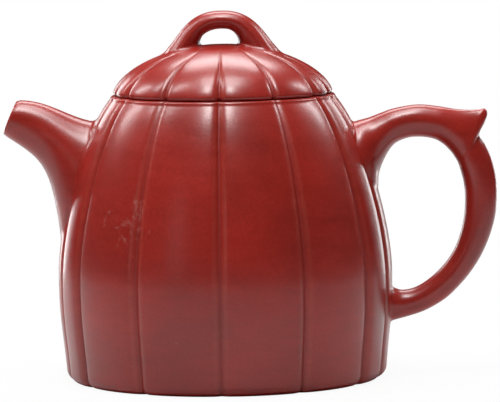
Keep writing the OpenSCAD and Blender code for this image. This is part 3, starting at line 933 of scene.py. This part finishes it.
left_stops, left_cove = rooted(knob_point, KNOB_SIDES, free=-0.35, sunk=-1.9, above=above_dome, cove=1.5 * MM)
right_stops, right_cove = rooted(knob_point, KNOB_SIDES, free=0.35, sunk=1.9, above=above_dome, cove=1.5 * MM)
knob_rings = [
    np.array([knob_point(a + (b - a) * s, k) for k, (a, b) in enumerate(zip(left_stops, right_stops))])
    for s in np.linspace(0, 1, 91)
]
knob = swept("bridge_knob", list(reversed(left_cove)) + knob_rings + right_cove)
knob.data.materials.append(burnished)
print("the knob has", len(knob.data.vertices), "points")

# %% [markdown]
# ## The base, the mouth lining and the rings under the lid
#
# These four are plain turned rings and a disc. The base is a round slab let into the foot; its
# underside is pressed in a little, so that the pot stands on its rim. The lining thickens the
# mouth, and under the dome a flat ring carries the collar that drops into it.

# %% Turn the small pieces
smooth_round = np.linspace(0, 2 * math.pi, 145)[:-1]


def plain_ring(name, corners, material):
    made = turned(name, wiped(corners), smooth_round)
    made.data.materials.append(material)
    return made


lining = plain_ring("mouth_lining", [
    [mouth_r, seam_z, 0.5 * MM, 0], [mouth_r, seam_z - mouth_ring_h, 1.2 * MM, 0],
    [seat_r, seam_z - mouth_ring_h, 0, 0], [seat_r, seam_z, 0, 0],
], smoothed)
plate = plain_ring("dome_ring", [
    [collar_r - collar_t, seam_z, 0, 0], [plate_r, seam_z, 0, 0],
    [plate_r, seam_z + plate_t, 0, 0], [collar_r - collar_t, seam_z + plate_t, 0.5 * MM, 0],
], smoothed)
collar = plain_ring("dome_collar", [
    [collar_r - collar_t, seam_z, 0, 0], [collar_r - collar_t, seam_z - collar_h, 0.8 * MM, 0],
    [collar_r, seam_z - collar_h, 0.8 * MM, 0], [collar_r, seam_z, 0, 0],
], smoothed)


def disc(name, outline, around=smooth_round):
    """A solid of turning whose outline starts and ends on the axis."""
    rings = [np.array([[r * math.sin(a), -r * math.cos(a), z] for a in around]) for r, z in outline[1:-1]]
    made = swept(name, rings)
    ends = [len(rings) * len(around), len(rings) * len(around) + 1]
    for index, (_, z) in zip(ends, (outline[0], outline[-1])):
        made.data.vertices[index].co.z = z
    return made


hollow_z = 0.5 * MM
under = [
    [0, hollow_z], [base_r - 5 * MM, hollow_z], [base_r - 3.4 * MM, 0.36 * MM], [base_r - 2.4 * MM, 0.1 * MM],
    [base_r - 1.6 * MM, 0],
]
base = disc("pot_base", under + [[base_r, 0], [base_r, base_t], [base_r - 0.2 * MM, base_t], [0, base_t]])
base.data.materials.append(matt)
print("base, lining, ring and collar turned")

# %% [markdown]
# ## The strainer's ball
#
# Behind the spout sits a small hollow ball of clay, pierced all over, that holds back the leaves.
# It is pressed in two halves and luted into a round hole in the wall. Here the hollow ball with
# its neck is turned round its own axis, and then tipped to stand square on the wall.

# %% Turn the hollow ball
strainer_z = 57.5 * MM
ball_r, neck_r, strainer_t = 8 * MM, 7.2 * MM, 1.5 * MM
wall_lean = math.atan2(body_radius(strainer_z - 3 * MM) - body_radius(strainer_z + 3 * MM), 6 * MM)
ball_back = wall_t + 3 * MM + math.sqrt(ball_r ** 2 - neck_r ** 2)
out_of_wall = np.array([-math.cos(wall_lean), 0, math.sin(wall_lean)])
hole_at = np.array([-body_radius(strainer_z), 0, strainer_z])
ball_at = hole_at - out_of_wall * ball_back


def on_strainer(depth, across, turn):
    """A point in the strainer's own measures: depth along its axis from the ball's middle."""
    side = np.array([0, 1, 0])
    up = np.cross(out_of_wall, side)
    return ball_at + out_of_wall * depth + (side * math.cos(turn) + up * math.sin(turn)) * across


neck_end = ball_back - 0.6 * MM
outer_meet = math.sqrt(ball_r ** 2 - neck_r ** 2)
inner_r = ball_r - strainer_t
inner_neck = neck_r - strainer_t
inner_meet = math.sqrt(inner_r ** 2 - inner_neck ** 2)


def ball_arc(radius, meet, steps):
    """Depth and width along the ball, from its tip to where the neck meets it."""
    turn = np.linspace(0, math.acos(-meet / radius), steps)
    return [(-math.cos(a) * radius, math.sin(a) * radius) for a in turn]


ball_section = ball_arc(ball_r, outer_meet, 26) + [(neck_end, neck_r), (neck_end, inner_neck)]
ball_section += ball_arc(inner_r, inner_meet, 22)[::-1]
ball_sides = [2 * math.pi * k / 72 for k in range(72)]


def hollow_ball(name):
    """The outer half and the inner half each close in a pole on the axis."""
    rings = [[on_strainer(d, r, a) for a in ball_sides] for d, r in ball_section[1:-1]]
    made = swept(name, [np.array(r) for r in rings])
    for index, (depth, _) in ((-2, ball_section[0]), (-1, ball_section[-1])):
        made.data.vertices[len(made.data.vertices) + index].co = on_strainer(depth, 0, 0)
    return made


plain_ball = hollow_ball("plain_ball")
print("the ball's middle is at", (ball_at / MM).round(1), "mm")

# %% [markdown]
# ## The strainer's holes
#
# The holes follow a rule as well: one at the tip of the ball, six around it, twelve around those.
# A second tree places that many points on the ball, stands a small cylinder on each, and cuts
# them all out. Point number i lies in ring ceil((sqrt(9 + 12 i) - 3) / 6). A cut leaves some
# points a hair apart that should be one, so the result is welded.

# %% Build the tree that pierces the ball
def build_pores():
    tree, given, result = new_tree("pierce_ball", "GeometryNodeTree", [
        ("Geometry", SHAPE, None), ("Rings", "NodeSocketInt", 2), ("Ring Step", FLOAT, 27.0),
        ("Hole Width", FLOAT, 0.0019), ("Ball Radius", FLOAT, 0.008), ("Lean", FLOAT, 0.4),
        ("Middle", PLACE, None), ("Clay", CLAY, None),
    ], [("Geometry", SHAPE, None)])
    calc = partial(sums, tree)
    rings = given["Rings"]
    count = calc("MULTIPLY_ADD", calc("MULTIPLY", rings, calc("ADD", rings, 1.0)), 3.0, 1.0)
    points = add(tree, "GeometryNodePoints", {"Count": count})
    index = add(tree, "GeometryNodeInputIndex").outputs[0]
    root = calc("SQRT", calc("MULTIPLY_ADD", index, 12.0, 9.0))
    ring = calc("CEIL", calc("SUBTRACT", calc("DIVIDE", calc("SUBTRACT", root, 3.0), 6.0), 0.001))
    first = calc("MULTIPLY_ADD", calc("MULTIPLY", ring, calc("SUBTRACT", ring, 1.0)), 3.0, 1.0)
    in_ring = calc("MAXIMUM", calc("MULTIPLY", ring, 6.0), 1.0)
    around = calc("DIVIDE", calc("SUBTRACT", index, first), in_ring)
    around = calc("MULTIPLY", around, 2 * math.pi)
    tip = calc("RADIANS", calc("MULTIPLY", ring, given["Ring Step"]))
    level = calc("MULTIPLY", calc("SINE", tip), calc("COSINE", around))
    side = calc("MULTIPLY", calc("SINE", tip), calc("SINE", around))
    aim = add(tree, "ShaderNodeCombineXYZ", {0: calc("COSINE", tip), 1: side, 2: level}).outputs[0]
    leaned = add(tree, "ShaderNodeVectorRotate", {
        "Vector": aim, "Angle": given["Lean"],
    }, rotation_type="Y_AXIS").outputs[0]
    reach = add(tree, "ShaderNodeVectorMath", {0: leaned, "Scale": given["Ball Radius"]}, operation="SCALE")
    spot = add(tree, "ShaderNodeVectorMath", {0: reach.outputs[0], 1: given["Middle"]}, operation="ADD")
    placed = add(tree, "GeometryNodeSetPosition", {
        "Geometry": points.outputs[0], "Position": spot.outputs[0],
    })
    facing = add(tree, "FunctionNodeAlignRotationToVector", {"Vector": leaned}, axis="Z")
    drill = add(tree, "GeometryNodeMeshCylinder", {
        "Vertices": 20, "Radius": calc("MULTIPLY", given["Hole Width"], 0.5), "Depth": 0.006,
    })
    drills = add(tree, "GeometryNodeInstanceOnPoints", {
        "Points": placed.outputs[0], "Instance": drill.outputs[0], "Rotation": facing.outputs[0],
    })
    drills = add(tree, "GeometryNodeRealizeInstances", {0: drills.outputs[0]})
    cut = add(tree, "GeometryNodeMeshBoolean", operation="DIFFERENCE", solver="EXACT")
    wire(tree, given["Geometry"], cut.inputs["Mesh 1"])
    wire(tree, drills.outputs[0], cut.inputs["Mesh 2"])
    finish_shape(tree, cut.outputs[0], given["Clay"], result[0])
    return tree


def weld(obj, within=0.001 * MM):
    """Close the hairline gaps that a cut leaves between points that should be one."""
    shell = bmesh.new()
    shell.from_mesh(obj.data)
    bmesh.ops.remove_doubles(shell, verts=shell.verts, dist=within)
    bmesh.ops.dissolve_degenerate(shell, edges=shell.edges, dist=within)
    shell.to_mesh(obj.data)
    shell.free()


pore_tree = build_pores()
strainer = grown(plain_ball, "pierced_ball", pore_tree, {
    "Rings": 2, "Ring Step": 27.0, "Hole Width": 1.9 * MM, "Ball Radius": ball_r, "Lean": wall_lean,
    "Middle": tuple(float(v) for v in ball_at), "Clay": smoothed,
})
weld(strainer)
print("the pierced ball has", len(strainer.data.polygons), "faces")

# %% [markdown]
# ## The hole behind the strainer
#
# The wall is cut through where the ball's neck sits in it. A cylinder as wide as the neck does
# that, with a boolean that is applied at once.

# %% Cut the wall open behind the strainer
cutter_ends = (outer_meet + 0.5 * MM, ball_back + 4 * MM)
cutter_rings = [np.array([on_strainer(d, neck_r, a) for a in ball_sides]) for d in cutter_ends]
cutter = swept("neck_cutter", cutter_rings)
cut = body_shell.modifiers.new("neck", "BOOLEAN")
cut.operation, cut.solver, cut.object = "DIFFERENCE", "EXACT", cutter
depsgraph = bpy.context.evaluated_depsgraph_get()
opened = bpy.data.meshes.new_from_object(body_shell.evaluated_get(depsgraph))
body_shell.modifiers.clear()
body_shell.data = opened
weld(body_shell)
bpy.data.objects.remove(cutter)
print("the wall now has", len(body_shell.data.polygons), "faces")

# %% [markdown]
# ## Check the surfaces
#
# Every piece should be a closed skin whose faces point outwards. A closed skin that points
# outwards has a positive volume, so one sum over its faces tells which pieces to turn.

# %% Point every face outwards
def volume(mesh):
    mesh.calc_loop_triangles()
    points = np.empty(len(mesh.vertices) * 3)
    mesh.vertices.foreach_get("co", points)
    points = points.reshape(-1, 3)
    corners = np.empty(len(mesh.loop_triangles) * 3, int)
    mesh.loop_triangles.foreach_get("vertices", corners)
    a, b, c = (points[corners[i::3]] for i in range(3))
    return float(np.einsum("ij,ij->i", a, np.cross(b, c)).sum() / 6)


all_pieces = [body_shell, base, lining, spout, strainer, handle, dome, plate, collar, knob]
for made in all_pieces:
    if volume(made.data) < 0:
        made.data.flip_normals()
    triangles = sum(len(p.vertices) - 2 for p in made.data.polygons)
    print(made.name, round(volume(made.data) * 1e6, 2), "ml of clay,", triangles, "triangles")

# %% [markdown]
# ## Every piece rides on its body
#
# The pot stands still, the collar's body rises with the lid, and the dome turns above it. Each
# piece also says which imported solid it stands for, and which finish it takes.

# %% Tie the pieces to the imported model
ROLES = [
    (body_shell, "pot", "body_wall", "clay"), (base, "pot", "base_disc", "clay_base"),
    (lining, "pot", "mouth_ring", "clay_inside"), (spout, "pot", "spout", "clay"),
    (strainer, "pot", "strainer", "clay_inside"), (handle, "pot", "handle", "clay"),
    (collar, "lid_seat", "lid_collar", "clay_inside"), (dome, "lid", "lid_dome", "clay"),
    (plate, "lid", "lid_plate", "clay_inside"), (knob, "lid", "lid_knob", "clay"),
]
for made, body, node, finish in ROLES:
    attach(made, body)
    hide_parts(node)
print(len(ROLES), "pieces ride")

# %% [markdown]
# ## The floor
#
# The pot stands on a small pale table. The camera sees the table and the world behind it as
# almost white, and still sees the pot's soft shadow.

# %% Lay the floor
floor = piece("floor", [(-0.5, -0.6, 0), (0.5, -0.6, 0), (0.5, 0.3, 0), (-0.5, 0.3, 0)], [(0, 1, 2, 3)])
paper = bpy.data.materials.new("white_paper")
paper.use_nodes = True
tree = paper.node_tree
shader = tree.nodes["Principled BSDF"]
shader.inputs["Base Color"].default_value = (0.6, 0.6, 0.6, 1)
shader.inputs["Roughness"].default_value = 0.9
glow = add(tree, "ShaderNodeEmission", {"Color": (1, 1, 1, 1), "Strength": 1.0})
seen = add(tree, "ShaderNodeLightPath").outputs["Is Camera Ray"]
white_share = sums(tree, "MULTIPLY", seen, 0.94)
blend = add(tree, "ShaderNodeMixShader", {0: white_share, 1: shader.outputs[0], 2: glow.outputs[0]})
wire(tree, blend.outputs[0], tree.nodes["Material Output"].inputs["Surface"])
floor.data.materials.append(paper)
print("floor laid")

# %% [markdown]
# ## The light
#
# Satin clay shows its form by soft highlights. One box hangs above and in front, and a faint one
# stands low in front. Boxes on the left, on both flanks and overhead model the sides and the lid,
# one behind lights the far edge of the shoulder, and two tall strips behind draw a bright line
# down the outermost ribs.

# %% Hang the lamps
LAMPS_LOOK_AT = Vector((0, 0, 0.06))
LAMPS_AWAY = 0.9


def softbox(name, azimuth, raised, width, height, watts):
    lamp = bpy.data.lights.new(name, "AREA")
    lamp.shape = "RECTANGLE"
    lamp.size, lamp.size_y, lamp.energy = width, height, watts
    made = bpy.data.objects.new(name, lamp)
    a, h = math.radians(azimuth), math.radians(raised)
    way = Vector((math.sin(a) * math.cos(h), -math.cos(a) * math.cos(h), math.sin(h)))
    made.location = LAMPS_LOOK_AT + way * LAMPS_AWAY
    made.rotation_euler = (-way).to_track_quat("-Z", "Y").to_euler()
    bpy.context.scene.collection.objects.link(made)
    return made


# Each lamp: name, azimuth and height in degrees seen from the pot, width, height, watts
LAMPS = [
    ("front_box", -6, 66, 0.14, 0.3, 4.2), ("front_low", -32, 14, 0.15, 0.35, 0.12),
    ("left_box", -85, 58, 0.16, 0.35, 2.2), ("left_flank", -112, 36, 0.1, 0.3, 1.8),
    ("right_flank", 118, 36, 0.1, 0.3, 1.8), ("top_box", 0, 88, 0.35, 0.35, 4.0),
    ("back_top", 180, 52, 0.5, 0.25, 3.2), ("back_left", -148, 3, 0.16, 0.7, 2.2),
    ("back_right", 148, 3, 0.12, 0.7, 1.8),
]
for lamp in LAMPS:
    softbox(*lamp)

world = bpy.data.worlds.new("studio")
bpy.context.scene.world = world
world.use_nodes = True
tree = world.node_tree
sky = tree.nodes["Background"]
sky.inputs["Color"].default_value = (1, 1, 1, 1)
path = add(tree, "ShaderNodeLightPath")
wire(tree, ranged(tree, path.outputs["Is Camera Ray"], 0.0, 1.0, 0.01), sky.inputs["Strength"])
print(len(LAMPS), "lamps and a white world")

# %% [markdown]
# ## The camera
#
# A long lens from a little above the table, two degrees to the right of straight on and rolled
# by less than one.

# %% Place the camera
distance, height = 1.34, 0.179
azimuth = math.radians(2)
look_at = Vector((0.0077, 0, 0.053))
frame_width = 0.150
roll = math.radians(-0.85)
eye = bpy.data.cameras.new("camera")
eye.sensor_width = 36
camera = bpy.data.objects.new("camera", eye)
camera.location = (math.sin(azimuth) * distance, -math.cos(azimuth) * distance, height)
eye.lens = eye.sensor_width * (look_at - camera.location).length / frame_width
camera.rotation_mode = "QUATERNION"
camera.rotation_quaternion = (look_at - camera.location).to_track_quat("-Z", "Y")
bpy.context.view_layer.update()
camera.rotation_mode = "XYZ"
camera.rotation_euler.rotate_axis("Z", roll)
bpy.context.scene.collection.objects.link(camera)
bpy.context.scene.camera = camera
bpy.context.scene.view_settings.view_transform = "Standard"
print("lens", round(eye.lens), "mm at", distance, "m")

# %% Write the sizes and finish
print("cad box", [[round(c / MM, 2) for c in v] for v in cad_box])
